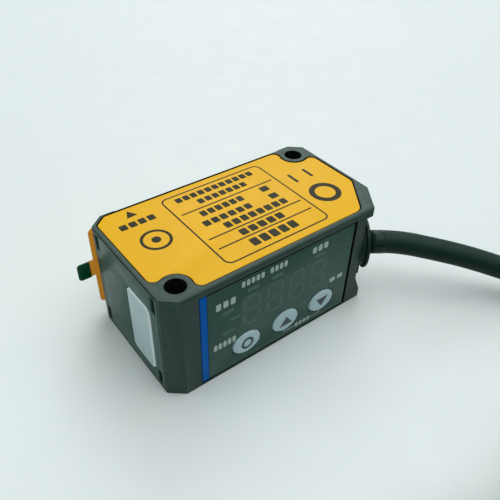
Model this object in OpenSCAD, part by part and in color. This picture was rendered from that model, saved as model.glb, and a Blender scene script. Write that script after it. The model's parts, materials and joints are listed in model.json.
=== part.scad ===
// Laser displacement sensor: a metal housing with a display face, a beam face and a cable at one corner.
// Sizes are in millimetres. X runs along the display face towards the cable, Y from the display face
// to the beam face, and Z up from the base to the label. The origin is the middle of the base.

/* [Housing] */
// Length of the housing along the display face
body_l = 43.6; // [42:0.2:48]
// Depth of the housing from display face to beam face
body_w = 24; // [23.4:0.2:28]
// Height of the housing from base to label face
body_h = 20; // [19.4:0.2:24]
// Thickness of the side walls
wall_t = 1.3; // [1.1:0.1:1.5]
// Thickness of the floor and the roof
plate_t = 1.4; // [1.2:0.1:1.8]
// Chamfer of the three plain corners along the length
corner_x = 2.4; // [1.8:0.1:2.8]
// Chamfer of the three plain corners along the depth
corner_y = 2; // [1.6:0.1:2.4]
// Chamfer of the cable corner along the length
cable_corner_x = 3.7; // [3.2:0.1:4.2]
// Chamfer of the cable corner along the depth
cable_corner_y = 5.2; // [4.6:0.1:5.8]
// Depth of the hollow between the flanges of the cable corner
corner_hollow = 1.2; // [0.9:0.1:1.5]
// Thickness of the flanges above and below that hollow
flange_t = 1.7; // [1.4:0.1:2.4]
// Depth of the shallow step across the beam face
back_step = 0.25; // [0.1:0.05:0.4]
// Length of a full corner beside that step
back_corner = 4.8; // [4:0.1:5.6]

/* [Mounting holes] */
// Diameter of the two through holes
mount_d = 3.2; // [2.8:0.1:3.4]
// Middle of a hole to the nearer end of the housing
mount_in_x = 3.5; // [3.3:0.1:3.8]
// Middle of a hole to the nearer long face of the housing
mount_in_y = 3.1; // [2.9:0.1:3.4]
// Metal left around a hole
mount_wall = 1; // [0.8:0.1:1.2]

/* [Label] */
// Depth of the recess for the label
label_recess = 0.3; // [0.2:0.05:0.5]
// Thickness of the label
label_t = 0.2; // [0.1:0.05:0.2]
// Gap between the label and the edge of its recess
label_gap = 0.2; // [0.1:0.05:0.25]
// Plain end of the housing to the label
label_left = 0.9; // [0.7:0.1:1.2]
// Display face to the label
label_front = 1.1; // [0.9:0.1:1.4]
// Beam face to the label
label_back = 0.6; // [0.5:0.1:1]
// Cable end of the housing to the label
label_right = 0.8; // [0.6:0.1:1.2]
// Chamfer of the cable corner to the label
label_corner = 2.4; // [1.6:0.1:3]
// Chamfer of a plain corner to the label
label_bevel = 0.7; // [0.5:0.1:1]
// Radius of the label's hollow around a mounting hole
label_hollow_r = 2.7; // [2.4:0.1:3]
// Radius of the tips beside such a hollow
label_tip_r = 1.1; // [0.7:0.1:1.4]
// Radius of the label's other corners
label_corner_r = 0.8; // [0.4:0.1:1]
// Radius of the label's two corners at the cable end
label_end_r = 2; // [1.4:0.1:2.4]

/* [Display face] */
// Plain end of the housing to the display panel
panel_left = 5.4; // [5.2:0.1:6]
// Cable end of the housing to the display panel
panel_right = 7.7; // [7.4:0.1:8.6]
// Base to the lower edge of the display panel
panel_low = 0.45; // [0.4:0.05:0.8]
// Label face to the upper edge of the display panel
panel_high = 1.3; // [1:0.1:1.6]
// Thickness of the display panel
panel_t = 0.5; // [0.4:0.05:0.6]
// Depth of the panel's front behind the housing's face
panel_sunk = 0.1; // [0:0.05:0.15]
// Gap around the display panel
panel_gap = 0.15; // [0.1:0.05:0.2]
// Gap at the cable end of the display panel
panel_end_gap = 0.35; // [0.2:0.05:0.5]
// Width of the coloured strip at the plain end of the panel
strip_w = 1.2; // [0.8:0.1:1.6]
// Width of the digit module
digits_w = 22.6; // [20:0.2:23]
// Label face to the digit module
digits_high = 4.3; // [4.1:0.1:4.6]
// Lip of the keys to the digit module
digits_low = 1.3; // [1:0.1:2]
// Middle of the digit module from the middle of the housing
digits_x = -1.8; // [-2.2:0.1:-1.4]

/* [Keys] */
// Width of a key
key_w = 5.4; // [4.8:0.1:5.8]
// Height of a key
key_h = 4.3; // [3.8:0.1:4.5]
// Distance between neighbouring keys
key_pitch = 8.05; // [7.6:0.05:8.2]
// Middle of the middle key from the middle of the housing
key_x = 0.1; // [-0.4:0.1:0.4]
// Base to the middle of the keys
key_z = 4.45; // [4.3:0.05:4.6]
// Height of a key above the panel
key_proud = 0.35; // [0.2:0.05:0.5]
// Travel of a key
key_travel = 0.3; // [0.2:0.05:0.35]
// Gap around a key and behind its travel
key_gap = 0.15; // [0.1:0.05:0.2]
// Width of the lip that keeps a key behind the panel
key_lip = 0.4; // [0.3:0.05:0.45]

/* [End cover] */
// Thickness of the end cover
cover_t = 0.9; // [0.7:0.1:1.1]
// Thickness of the gaskets behind the end cover and the beam window
gasket_t = 0.3; // [0.2:0.05:0.4]
// Thickness of the ledges that carry the gaskets
ledge_t = 1; // [0.8:0.1:1.2]
// Display face to the end cover
cover_front = 2.4; // [2.3:0.1:2.8]
// Beam face to the end cover
cover_back = 2.4; // [2.3:0.1:2.8]
// Base to the end cover, and end cover to the label face
cover_edge = 0.35; // [0.3:0.05:0.6]
// Gap around the end cover
cover_gap = 0.12; // [0.06:0.02:0.16]
// Display face to the pane
pane_front = 4.9; // [4.7:0.1:5.2]
// Width of the pane
pane_w = 6.7; // [6.2:0.1:7.4]
// Base to the pane
pane_low = 2.7; // [2.4:0.1:3.2]
// Height of the pane
pane_h = 13.1; // [12:0.1:13.6]
// Thickness of the pane
pane_t = 0.6; // [0.5:0.05:0.7]
// Height of the pane above the end cover
pane_proud = 0.15; // [0:0.05:0.2]
// Gap around the pane
pane_gap = 0.15; // [0.05:0.05:0.2]
// Radius of the pane's corners
pane_r = 1.1; // [0.8:0.1:1.4]
// Width of the four notches in the end cover
notch_w = 1.1; // [0.8:0.1:1.2]
// Height of the four notches
notch_h = 2.9; // [2.4:0.1:3.2]

/* [Beam face] */
// Plain end of the housing to the beam window
window_left = 5.2; // [5:0.1:6]
// Cable end of the housing to the beam window
window_right = 5.8; // [5.4:0.1:6.4]
// Base to the beam window, and beam window to the label face
window_edge = 1.8; // [1.5:0.1:2.4]
// Thickness of the beam window
window_t = 1.2; // [1:0.1:1.4]
// Thickness of the protective film
film_t = 0.1; // [0.05:0.05:0.2]
// Overhang of the film past the plain end of the housing
film_over = 0.1; // [0:0.05:0.3]
// Base to the film
film_low = 2.2; // [1.8:0.1:2.6]
// Label face to the film
film_high = 1.8; // [1.6:0.1:2.4]
// Length of the pull tab
tab_l = 2.2; // [1.8:0.1:3]
// Width of the pull tab
tab_w = 3.3; // [2.8:0.1:4]
// Base to the middle of the pull tab
tab_z = 10.35; // [9.8:0.05:10.8]
// Thickness of the pull tab
tab_t = 0.3; // [0.2:0.05:0.4]
// Length of the film's tongue up to the pull tab
tongue_l = 0.75; // [0.6:0.05:1.2]

/* [Cable] */
// Diameter of the cable
cable_d = 4.2; // [4:0.1:4.4]
// Base to the middle of the cable gland
gland_z = 10.3; // [9.8:0.1:10.6]
// Radius of the gland's face
gland_r = 4.6; // [4.2:0.1:4.8]
// Height of the gland's face above the chamfer
gland_proud = 0.45; // [0.35:0.05:0.55]
// Depth of the gland's waist behind its face
gland_waist = 0.5; // [0.3:0.1:0.7]
// Height of the collar around the cable above the chamfer
collar_proud = 0.6; // [0.6:0.05:0.9]
// Turns of the hank side by side
hank_columns = 3; // [2:1:3]
// Turns of the hank on each other
hank_layers = 4; // [3:1:5]
// Radius of the hank's innermost folds
fold_r = 12.6; // [12:0.2:14]
// Length of the hank
hank_l = 78; // [76:1:82]
// Middle of the hank along the length
hank_x = 7; // [5:1:9]
// Middle of the hank along the depth
hank_y = -77; // [-80:1:-77]
// Thickness of the ties around the hank
tie_t = 0.6; // [0.4:0.1:0.8]
// Width of the ties
tie_w = 4; // [3:0.5:6]
// Diameter of the five leads at the free end
lead_d = 1.2; // [1:0.1:1.3]
// Length of the leads
lead_l = 28; // [20:1:30]

/* [Boards] */
// Thickness of the circuit boards
board_t = 1; // [0.8:0.1:1.2]
// Clearance between the main board and the roof
main_drop = 1.8; // [1.7:0.1:2.2]
// Height of a switch under a key
switch_h = 0.8; // [0.6:0.1:1]
// Diameter of the board screws
screw_d = 1.6; // [1.4:0.1:1.8]

/* [Optics] */
// Middle of the laser barrel from the plain end of the housing
laser_in = 7.3; // [7.1:0.1:7.6]
// Radius of the laser barrel
barrel_r = 3; // [2.8:0.1:3.2]
// Middle of the receiver lens from the middle of the housing
lens_x = 4.5; // [4:0.1:5]
// Radius of the receiver lens
lens_r = 4; // [3.6:0.1:4.2]
// Width of the fold mirror
mirror_w = 9; // [8:0.1:9.4]
// Thickness of the bench plate
bench_t = 1.2; // [1:0.1:1.4]

/* [Hidden] */
$fn = 64;

// Faces of the housing
left_x = -body_l / 2;
right_x = body_l / 2;
front_y = -body_w / 2;
back_y = body_w / 2;
roof_z = body_h - plate_t;
middle_z = body_h / 2;
// How far a cutter runs past the face that it cuts
over = 1;
// Clearance between pieces that are bonded or slide into each other
fit = 0.05;

mounts = [[left_x + mount_in_x, front_y + mount_in_y], [right_x - mount_in_x, back_y - mount_in_y]];
post_r = mount_d / 2 + mount_wall;
// Clearance between an opening and a mounting post
post_gap = 0.3;

// Display face: the panel, the opening behind it and the layers inwards
panel_x0 = left_x + panel_left;
panel_x1 = right_x - panel_right;
panel_z1 = body_h - panel_high;
panel_y = front_y + panel_sunk;
panel_back_y = panel_y + panel_t;
open_x0 = left_x + mount_in_x + post_r + post_gap;
open_x1 = panel_x1 - 0.8;
open_z0 = plate_t + 0.2;
open_z1 = panel_z1 - 0.8;
carrier_t = 1.9;
carrier_back_y = panel_back_y + carrier_t;
lip_t = 0.4;
plunger_h = 0.25;
stem_r = 1.2;
keys_x = [key_x - key_pitch, key_x, key_x + key_pitch];
display_y0 = carrier_back_y + 0.9;
display_y1 = display_y0 + board_t;
plunger_y = display_y0 - switch_h - plunger_h;
digits_z0 = key_z + key_h / 2 + key_lip + digits_low;
digits_z1 = body_h - digits_high;
switch_w = 3;
plunger_r = 0.75;
led_r = 0.5;
led_side_x = open_x0 + 1;
leds = concat(
    [for (z = [digits_z1 - 1.7, digits_z0 - 1.4]) [led_side_x, z]],
    [for (x = [-5.4, -0.6, 8.2]) [digits_x + x, digits_z1 + 1.05]]
);

// Plain end: the seat, the gasket and the opening behind it
cover_y0 = front_y + cover_front;
cover_y1 = back_y - cover_back;
cover_seat = cover_t + gasket_t;
cover_open_y0 = front_y + mount_in_y + post_r + post_gap;
notch_back = 0.85;
notches_y = [cover_y0 + 1.2, cover_y1 - notch_back];
notch_in_z = 1.95;
cover_open_y1 = cover_y1 - notch_back - notch_w / 2 - post_gap;
cover_open_z0 = plate_t + 0.2;
cover_open_z1 = roof_z - 0.2;

// Beam face: the seat, the gasket and the opening behind it
window_x0 = left_x + window_left;
window_x1 = right_x - window_right;
window_z1 = body_h - window_edge;
window_seat = window_t + gasket_t;
window_r = 1;
window_rim = 1.1;
film_past = 1;

// Inside of the housing
hollow_x0 = left_x + cover_seat + ledge_t;
hollow_x1 = right_x - wall_t;
hollow_y0 = front_y + wall_t;
hollow_y1 = back_y - window_seat - ledge_t;

// Bench, boards and optics
bench_x0 = hollow_x0 + 2;
bench_x1 = right_x - mount_in_x - post_r - 0.6;
bench_y0 = cover_open_y0 + 0.1;
bench_y1 = hollow_y1 - 0.3;
bench_z1 = plate_t + bench_t;
main_z0 = roof_z - main_drop - board_t;
main_z1 = main_z0 + board_t;
main_y0 = display_y1 + 0.5;
flex_t = 0.2;
flex_x0 = -6;
flex_w = 8;
standoff_r = 1.3;
standoffs = [
    [bench_x0 + 9, bench_y0 + 1.6], [bench_x0 + 9, bench_y1 - 1.6],
    [bench_x1 - 2.9, bench_y1 - 1.6], [bench_x1 - 4.3, bench_y0 + 1.6],
];
bench_bolts = [[bench_x0 + 8.2, 1.6], [bench_x1 - 4.2, 3]];
laser_x = left_x + laser_in;
barrel_y0 = -0.4;
barrel_y1 = hollow_y1 - 0.6;
barrel_wall = 0.5;
pillar_w = 2 * barrel_r + 1;
pillar_y0 = 1.6;
pillar_y1 = barrel_y1 - 1.4;
mount_y0 = bench_y1 - 3.6;
mount_y1 = bench_y1 - 0.4;
mirror_t = 1;
mirror_h = 8.8;
mirror_y = -1;
sensor_t = 1.2;
sensor_x1 = bench_x1 - 1.4;
sensor_y0 = -4;
sensor_w = 8.4;
sensor_drop = 0.9;
head_h = 0.9;
slot_w = 0.35;
bolt_in = 0.8;
shank_in = 3.5;

// Cable corner: the middle of the chamfer and the way it faces
gland_x = right_x - cable_corner_x / 2;
gland_y = front_y + cable_corner_y / 2;
gland_turn = atan2(-cable_corner_x, cable_corner_y);
gland_way = [cos(gland_turn), sin(gland_turn), 0];
neck_r = 2.8;
flange_r = 3.25;
gland_in = corner_hollow + wall_t;
gland_end = gland_in + 1.2;
lead_run = 2.3;
lead_pitch = 0.95;
lead_shift = 0.8;
connector_z = main_z0 - 2.9;

// Hank: turns lie a cable's width apart, on ties
hank_w = 2 * fold_r + (2 * hank_columns - 1) * cable_d;
hank_h = hank_layers * cable_d;
hank_band = hank_columns * cable_d;
hank_straight = hank_l - hank_w;

// Distance along X from an outer corner to its chamfer, moved in by c, at the line f from the long face
function cut_x(a, b, c, f) = a * (1 - f / b) + c * norm([a, b]) / b;

// The eight corners of the housing's plan, with its sides, plain chamfers and cable chamfer moved in
function plan_points(l, r, f, b, c, q) = [
    [left_x + cut_x(corner_x, corner_y, c, f), front_y + f],
    [right_x - cut_x(cable_corner_x, cable_corner_y, q, f), front_y + f],
    [right_x - r, front_y + cut_x(cable_corner_y, cable_corner_x, q, r)],
    [right_x - r, back_y - cut_x(corner_y, corner_x, c, r)],
    [right_x - cut_x(corner_x, corner_y, c, b), back_y - b],
    [left_x + cut_x(corner_x, corner_y, c, b), back_y - b],
    [left_x + l, back_y - cut_x(corner_y, corner_x, c, l)],
    [left_x + l, front_y + cut_x(corner_y, corner_x, c, l)],
];

function unit(v) = v / norm(v);

function heading(v) = atan2(v[1], v[0]);

// Points along an arc between two angles
function arc_points(middle, r, from, to) =
    let (steps = ceil(abs(to - from) / 12))
    [for (k = [0 : steps]) let (a = from + (to - from) * k / steps) middle + r * [cos(a), sin(a)]];

// A round corner of an outline that runs anticlockwise
function corner_points(before, tip, after, r) =
    let (in = unit(tip - before), out = unit(after - tip), turn = (heading(out) - heading(in) + 360) % 360)
    arc_points(tip + unit(out - in) * r / cos(turn / 2), r, heading(in) - 90, heading(in) - 90 + turn);

// The stretch of an outline that hollows around a hole at the origin, from its edge x = edge_x to its edge
// y = edge_y: a round tip, the hollow and a second round tip
function hollow_points(edge_x, edge_y, r, tip_r) =
    let (
        first = [edge_x + tip_r, sqrt(pow(r + tip_r, 2) - pow(edge_x + tip_r, 2))],
        last = [sqrt(pow(r + tip_r, 2) - pow(edge_y + tip_r, 2)), edge_y + tip_r]
    )
    concat(
        arc_points(first, tip_r, 180, 180 + heading(first)),
        arc_points([0, 0], r, heading(first), heading(last)),
        arc_points(last, tip_r, 180 + heading(last), 270)
    );

// A point on the gland's axis, this far out from the chamfer
function gland_point(out) = [gland_x, gland_y, gland_z] + out * gland_way;

module along_x(x0, x1) translate([x0, 0, 0]) rotate([90, 0, 90]) linear_extrude(x1 - x0) children();

module along_y(y0, y1) translate([0, y1, 0]) rotate([90, 0, 0]) linear_extrude(y1 - y0) children();

module along_z(z0, z1) translate([0, 0, z0]) linear_extrude(z1 - z0) children();

module at_gland() translate([gland_x, gland_y, 0]) rotate([0, 0, gland_turn]) children();

// Rectangle between two corners
module rect(x0, y0, x1, y1) translate([x0, y0]) square([x1 - x0, y1 - y0]);

// Rectangle between two corners with round corners
module round_rect(x0, y0, x1, y1, r) {
    rect(x0 + r, y0, x1 - r, y1);
    rect(x0, y0 + r, x1, y1 - r);
    for (x = [x0 + r, x1 - r], y = [y0 + r, y1 - r])
        translate([x, y]) circle(r);
}

// Oval of four arcs: two round ends and two flatter sides
module oval(w, h) {
    end_r = 0.42 * h;
    end_x = w / 2 - end_r;
    rise = h / 2 - end_r;
    side_y = (end_x * end_x - rise * rise) / (2 * rise);
    side_r = h / 2 + side_y;
    meet_x = end_x * side_r / (side_r - end_r);
    intersection() {
        translate([0, -side_y]) circle(side_r);
        translate([0, side_y]) circle(side_r);
        square([2 * meet_x, 2 * h], center = true);
    }
    for (x = [-end_x, end_x])
        translate([x, 0]) circle(end_r);
}

// Plan of the label, or of its recess when grown
module label_outline(grow) {
    p = plan_points(
        label_left - grow, label_right - grow, label_front - grow, label_back - grow,
        label_bevel - grow, label_corner - grow
    );
    hollow_r = label_hollow_r - grow;
    tip_r = label_tip_r + grow;
    corner_r = label_corner_r + grow;
    end_r = label_end_r + grow;
    near = hollow_points(label_left - grow - mount_in_x, label_front - grow - mount_in_y, hollow_r, tip_r);
    far = hollow_points(label_right - grow - mount_in_x, label_back - grow - mount_in_y, hollow_r, tip_r);
    polygon(concat(
        [for (q = near) mounts[0] + q],
        corner_points(p[0], p[1], p[2], end_r),
        corner_points(p[1], p[2], p[3], end_r),
        [for (q = far) mounts[1] - q],
        corner_points(p[4], p[5], p[6], corner_r),
        corner_points(p[5], p[6], p[7], corner_r)
    ));
}

module housing() color([0.2, 0.24, 0.23]) difference() {
    union() {
        difference() {
            along_z(0, body_h) polygon(plan_points(0, 0, 0, 0, 0, 0));
            along_z(plate_t, roof_z) intersection() {
                polygon(plan_points(wall_t, wall_t, wall_t, wall_t, wall_t, corner_hollow + wall_t));
                rect(hollow_x0, hollow_y0, hollow_x1, hollow_y1);
            }
        }
        for (at = mounts)
            translate(at) cylinder(r = post_r, h = body_h);
    }
    for (at = mounts)
        translate([at[0], at[1], -over]) cylinder(d = mount_d, h = body_h + 2 * over);
    along_z(body_h - label_recess, body_h + over) label_outline(label_gap);
    along_y(front_y - over, panel_back_y)
        rect(panel_x0 - panel_gap, panel_low - panel_gap, panel_x1 + panel_end_gap, panel_z1 + panel_gap);
    along_y(front_y - over, hollow_y0 + over) rect(open_x0, open_z0, open_x1, open_z1);
    along_x(left_x - over, left_x + cover_seat)
        rect(
            cover_y0 - cover_gap, cover_edge - cover_gap, cover_y1 + cover_gap, body_h - cover_edge + cover_gap
        );
    along_x(left_x - over, hollow_x0 + over) rect(cover_open_y0, cover_open_z0, cover_open_y1, cover_open_z1);
    along_y(back_y - back_step, back_y + over)
        rect(left_x + back_corner, -over, right_x - back_corner, body_h + over);
    along_y(back_y - window_seat, back_y + over)
        round_rect(window_x0 - fit, window_edge - fit, window_x1 + fit, window_z1 + fit, window_r);
    along_y(hollow_y1 - over, back_y + over) window_opening();
    at_gland() translate([-corner_hollow, -body_w, flange_t])
        cube([body_w, 2 * body_w, body_h - 2 * flange_t]);
    at_gland() translate([0, 0, gland_z]) rotate([0, -90, 0]) cylinder(r = neck_r + fit, h = gland_in + over);
    for (at = bench_bolts)
        translate([at[0], at[1], plate_t - bolt_in - 0.1]) cylinder(d = screw_d + 0.1, h = bolt_in + over);
}

module window_opening() round_rect(
    window_x0 + window_rim, window_edge + window_rim, min(window_x1 - window_rim, right_x - mount_in_x - post_r - post_gap),
    window_z1 - window_rim, window_r
);

module end_cover() color([0.22, 0.27, 0.25]) difference() {
    along_x(left_x, left_x + cover_t) rect(cover_y0, cover_edge, cover_y1, body_h - cover_edge);
    along_x(left_x - over, left_x + pane_t - pane_proud) pane_outline(pane_gap);
    for (y = notches_y, z = [cover_edge + notch_in_z, body_h - cover_edge - notch_in_z])
        along_x(left_x - over, left_x + cover_t + over)
            round_rect(y - notch_w / 2, z - notch_h / 2, y + notch_w / 2, z + notch_h / 2, 0.15);
}

// Plan of the pane, or of its recess when grown
module pane_outline(grow) {
    y0 = front_y + pane_front;
    round_rect(y0 - grow, pane_low - grow, y0 + pane_w + grow, pane_low + pane_h + grow, pane_r + grow);
}

module end_pane() color([0.66, 0.71, 0.7])
    along_x(left_x - pane_proud, left_x + pane_t - pane_proud) pane_outline(0);

module end_gasket() color([0.05, 0.05, 0.05]) along_x(left_x + cover_t, left_x + cover_seat) difference() {
    rect(cover_y0, cover_edge, cover_y1, body_h - cover_edge);
    rect(cover_open_y0, cover_open_z0, cover_open_y1, cover_open_z1);
}

module beam_window() color([0.1, 0.05, 0.05])
    along_y(back_y - window_t, back_y) round_rect(window_x0, window_edge, window_x1, window_z1, window_r);

module window_gasket() color([0.05, 0.05, 0.05]) along_y(back_y - window_seat, back_y - window_t) difference() {
    round_rect(window_x0, window_edge, window_x1, window_z1, window_r);
    window_opening();
}

module protective_film() color([0.86, 0.5, 0.1]) along_y(back_y, back_y + film_t) {
    round_rect(left_x - film_over, film_low, window_x1 + film_past, body_h - film_high, 1);
    rect(left_x - film_over - tongue_l, tab_z - tab_w / 2, left_x, tab_z + tab_w / 2);
}

module pull_tab() color([0.0, 0.2, 0.14]) along_y(back_y - tab_t + film_t, back_y + film_t) {
    tab_x = left_x - film_over - tongue_l;
    round_rect(tab_x - tab_l, tab_z - tab_w / 2, tab_x, tab_z + tab_w / 2, 0.6);
    rect(tab_x - 1, tab_z - tab_w / 2, tab_x, tab_z + tab_w / 2);
}

module label_plate() color([0.9, 0.72, 0.2])
    along_z(body_h - label_recess, body_h - label_recess + label_t) label_outline(0);

module display_panel() color([0.18, 0.24, 0.23]) along_y(panel_y, panel_back_y) difference() {
    rect(panel_x0 + strip_w, panel_low, panel_x1, panel_z1);
    for (x = keys_x)
        translate([x, key_z]) oval(key_w + 2 * key_gap, key_h + 2 * key_gap);
}

module accent_strip() color([0.0, 0.28, 0.58])
    along_y(panel_y, panel_back_y) rect(panel_x0, panel_low, panel_x0 + strip_w, panel_z1);

module panel_carrier() color([0.08, 0.08, 0.08]) {
    difference() {
        union() {
            along_y(panel_back_y, carrier_back_y)
                rect(open_x0 + fit, open_z0 + fit, open_x1 - fit, open_z1 - fit);
            along_y(hollow_y0 + fit, carrier_back_y)
                rect(open_x0 + fit, plate_t + fit, open_x1 - fit, roof_z - fit);
        }
        along_y(panel_back_y - over, carrier_back_y + over)
            rect(
                digits_x - digits_w / 2 - key_gap, digits_z0 - key_gap,
                digits_x + digits_w / 2 + key_gap, digits_z1 + key_gap
            );
        for (x = keys_x) {
            along_y(panel_back_y - over, panel_back_y + fit + lip_t + key_travel + key_gap)
                translate([x, key_z]) oval(key_w + 2 * key_lip + 2 * key_gap, key_h + 2 * key_lip + 2 * key_gap);
            along_y(panel_back_y, carrier_back_y + over) translate([x, key_z]) circle(stem_r + key_gap);
        }
        for (at = leds)
            along_y(panel_back_y - over, carrier_back_y + over) translate(at) circle(led_r);
    }
    for (x = [open_x0 + 1.2, open_x1 - 1.2], z = [plate_t + 1.6, roof_z - 1.4])
        along_y(carrier_back_y, display_y0) translate([x, z]) circle(0.7);
}

// A key: the cap in the panel, the lip behind it and the stem over the switch
module push_key(x) translate([x, 0, key_z]) {
    along_y(panel_y - key_proud, panel_back_y + fit) oval(key_w, key_h);
    along_y(panel_back_y + fit, panel_back_y + fit + lip_t) oval(key_w + 2 * key_lip, key_h + 2 * key_lip);
    along_y(panel_back_y + fit + lip_t, plunger_y - key_travel - fit) circle(stem_r);
}

module set_key() color([0.66, 0.75, 0.8]) push_key(keys_x[0]);

module up_key() color([0.66, 0.75, 0.8]) push_key(keys_x[1]);

module down_key() color([0.66, 0.75, 0.8]) push_key(keys_x[2]);

module key_switches() color([0.15, 0.15, 0.15]) for (x = keys_x) {
    along_y(display_y0 - switch_h, display_y0) translate([x, key_z]) square(switch_w, center = true);
    along_y(plunger_y, display_y0 - switch_h) translate([x, key_z]) circle(plunger_r);
}

module display_board() color([0.05, 0.25, 0.12])
    along_y(display_y0, display_y1) rect(open_x0 + 0.2, plate_t + 0.3, open_x1 + 0.1, roof_z - 0.3);

module digit_display() color([0.12, 0.03, 0.03]) along_y(panel_back_y + 0.2, display_y0)
    rect(digits_x - digits_w / 2, digits_z0, digits_x + digits_w / 2, digits_z1);

module indicator_leds() color([0.8, 0.85, 0.7]) for (at = leds)
    along_y(display_y0 - 0.6, display_y0) translate(at) square([1.2, 0.7], center = true);

module board_flex() color([0.6, 0.4, 0.1]) {
    along_x(flex_x0, flex_x0 + flex_w) {
        rect(display_y1, main_z0 - 3.4, display_y1 + flex_t, main_z0);
        rect(display_y1, main_z0 - flex_t, main_y0 + 2.4, main_z0);
    }
}

module main_board() color([0.05, 0.25, 0.12]) along_z(main_z0, main_z1) difference() {
    rect(hollow_x0 + 0.4, main_y0, bench_x1 + 2, bench_y1);
    for (at = mounts)
        translate(at) circle(post_r + 0.4);
    for (at = standoffs)
        translate(at) circle(d = screw_d + 0.1);
}

module controller_chip() color([0.06, 0.06, 0.06])
    along_z(main_z1, main_z1 + 1) rect(-4, main_y0 + 2.5, 3, main_y0 + 9.5);

module wire_connector() color([0.85, 0.83, 0.75]) at_gland()
    along_z(connector_z, main_z0) translate([-gland_end - lead_run, lead_shift]) square([1.8, 5.4], center = true);

module inner_leads() {
    tones = [[0.35, 0.2, 0.1], [0.1, 0.2, 0.6], [0.08, 0.08, 0.08], [0.9, 0.9, 0.9], [0.85, 0.4, 0.5]];
    at_gland() for (i = [0 : len(tones) - 1]) color(tones[i])
        translate([-gland_end, lead_shift + (i - 2) * lead_pitch, gland_z]) {
            rotate([0, -90, 0]) cylinder(r = 0.45, h = lead_run);
            translate([-lead_run, 0, 0]) {
                sphere(0.45);
                cylinder(r = 0.45, h = connector_z - gland_z);
            }
        }
}

module optical_bench() color([0.35, 0.36, 0.37]) {
    lens_side = lens_r + 0.9;
    mirror_middle = [lens_x, mirror_y] - [1, 1] * mirror_t / sqrt(2);
    mirror_half = [1, -1] * mirror_w / 2 / sqrt(2);
    difference() {
        union() {
            along_z(plate_t, bench_z1) rect(bench_x0, bench_y0, bench_x1, bench_y1);
            along_z(plate_t, middle_z + pillar_w / 2)
                rect(laser_x - pillar_w / 2, pillar_y0, laser_x + pillar_w / 2, pillar_y1);
            along_z(plate_t, middle_z + lens_side)
                rect(lens_x - lens_side, mount_y0, lens_x + lens_side, mount_y1);
            along_z(plate_t, middle_z + mirror_h / 2 + 0.5)
                polygon([
                    mirror_middle - mirror_half,
                    [mirror_middle[0] - mirror_half[0], mirror_middle[1] + mirror_half[1]],
                    mirror_middle + mirror_half,
                ]);
            for (at = standoffs)
                translate([at[0], at[1], plate_t]) cylinder(r = standoff_r, h = main_z0 - plate_t);
        }
        along_y(pillar_y0 - over, pillar_y1 + over) translate([laser_x, middle_z]) circle(barrel_r + 0.02);
        along_y(mount_y0 - over, mount_y1 + over) translate([lens_x, middle_z]) circle(lens_r + 0.02);
        for (at = standoffs)
            translate([at[0], at[1], main_z0 - shank_in - 0.5]) cylinder(d = screw_d + 0.1, h = shank_in + over);
        for (at = bench_bolts)
            translate([at[0], at[1], 0]) cylinder(d = screw_d + 0.1, h = 2 * plate_t + bench_t);
    }
}

// A pan-head screw whose head rests at z, with its shank below
module screw(at, z, shank) translate([at[0], at[1], z]) {
    difference() {
        cylinder(d = 2 * screw_d, h = head_h);
        for (turn = [0, 90])
            translate([0, 0, head_h]) rotate(turn) cube([screw_d, slot_w, head_h], center = true);
    }
    translate([0, 0, -shank]) cylinder(d = screw_d, h = shank);
}

module bench_screws() color([0.7, 0.7, 0.7]) for (at = bench_bolts)
    screw(at, bench_z1, bench_t + bolt_in);

module board_screws() color([0.7, 0.7, 0.7]) for (at = standoffs)
    screw(at, main_z1, board_t + shank_in);

module laser_barrel() color([0.75, 0.6, 0.3]) along_y(barrel_y0, barrel_y1) translate([laser_x, middle_z]) difference() {
    circle(barrel_r);
    circle(barrel_r - barrel_wall);
}

module collimating_lens() color([0.7, 0.8, 0.9]) along_y(barrel_y1 - 2, barrel_y1 - 0.4)
    translate([laser_x, middle_z]) circle(barrel_r - barrel_wall - 0.02);

module laser_diode() color([0.8, 0.7, 0.4]) {
    along_y(barrel_y0 - 1.2, barrel_y0) translate([laser_x, middle_z]) circle(barrel_r - 0.2);
    along_y(barrel_y0, barrel_y0 + 2.4) translate([laser_x, middle_z]) circle(barrel_r - barrel_wall - 0.3);
    for (turn = [90, 210, 330])
        along_y(barrel_y0 - 3.6, barrel_y0 - 1.2)
            translate([laser_x + cos(turn), middle_z + sin(turn)]) circle(0.22);
}

// Receiver lens: flat towards the beam face, a round cap towards the mirror
module receiver_lens() color([0.7, 0.8, 0.9]) {
    rim_t = 1.2;
    crown = 1.1;
    crown_r = (lens_r * lens_r + crown * crown) / (2 * crown);
    translate([lens_x, mount_y1 - 0.4, middle_z]) rotate([90, 0, 0]) {
        cylinder(r = lens_r, h = rim_t);
        intersection() {
            translate([0, 0, rim_t + crown - crown_r]) sphere(crown_r);
            translate([0, 0, rim_t]) cylinder(r = lens_r, h = crown + 1);
        }
    }
}

module fold_mirror() color([0.8, 0.82, 0.85]) translate([lens_x, mirror_y, middle_z]) rotate([0, 0, -45])
    translate([0, -mirror_t / 2, 0]) cube([mirror_w, mirror_t, mirror_h], center = true);

module sensor_board() color([0.05, 0.25, 0.12])
    along_z(bench_z1, main_z0 - sensor_drop) rect(sensor_x1, sensor_y0, sensor_x1 + board_t, sensor_y0 + sensor_w);

module image_sensor() color([0.1, 0.1, 0.12]) along_x(sensor_x1 - sensor_t, sensor_x1)
    rect(-3.6, middle_z - 2, 3.6, middle_z + 2);

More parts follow.
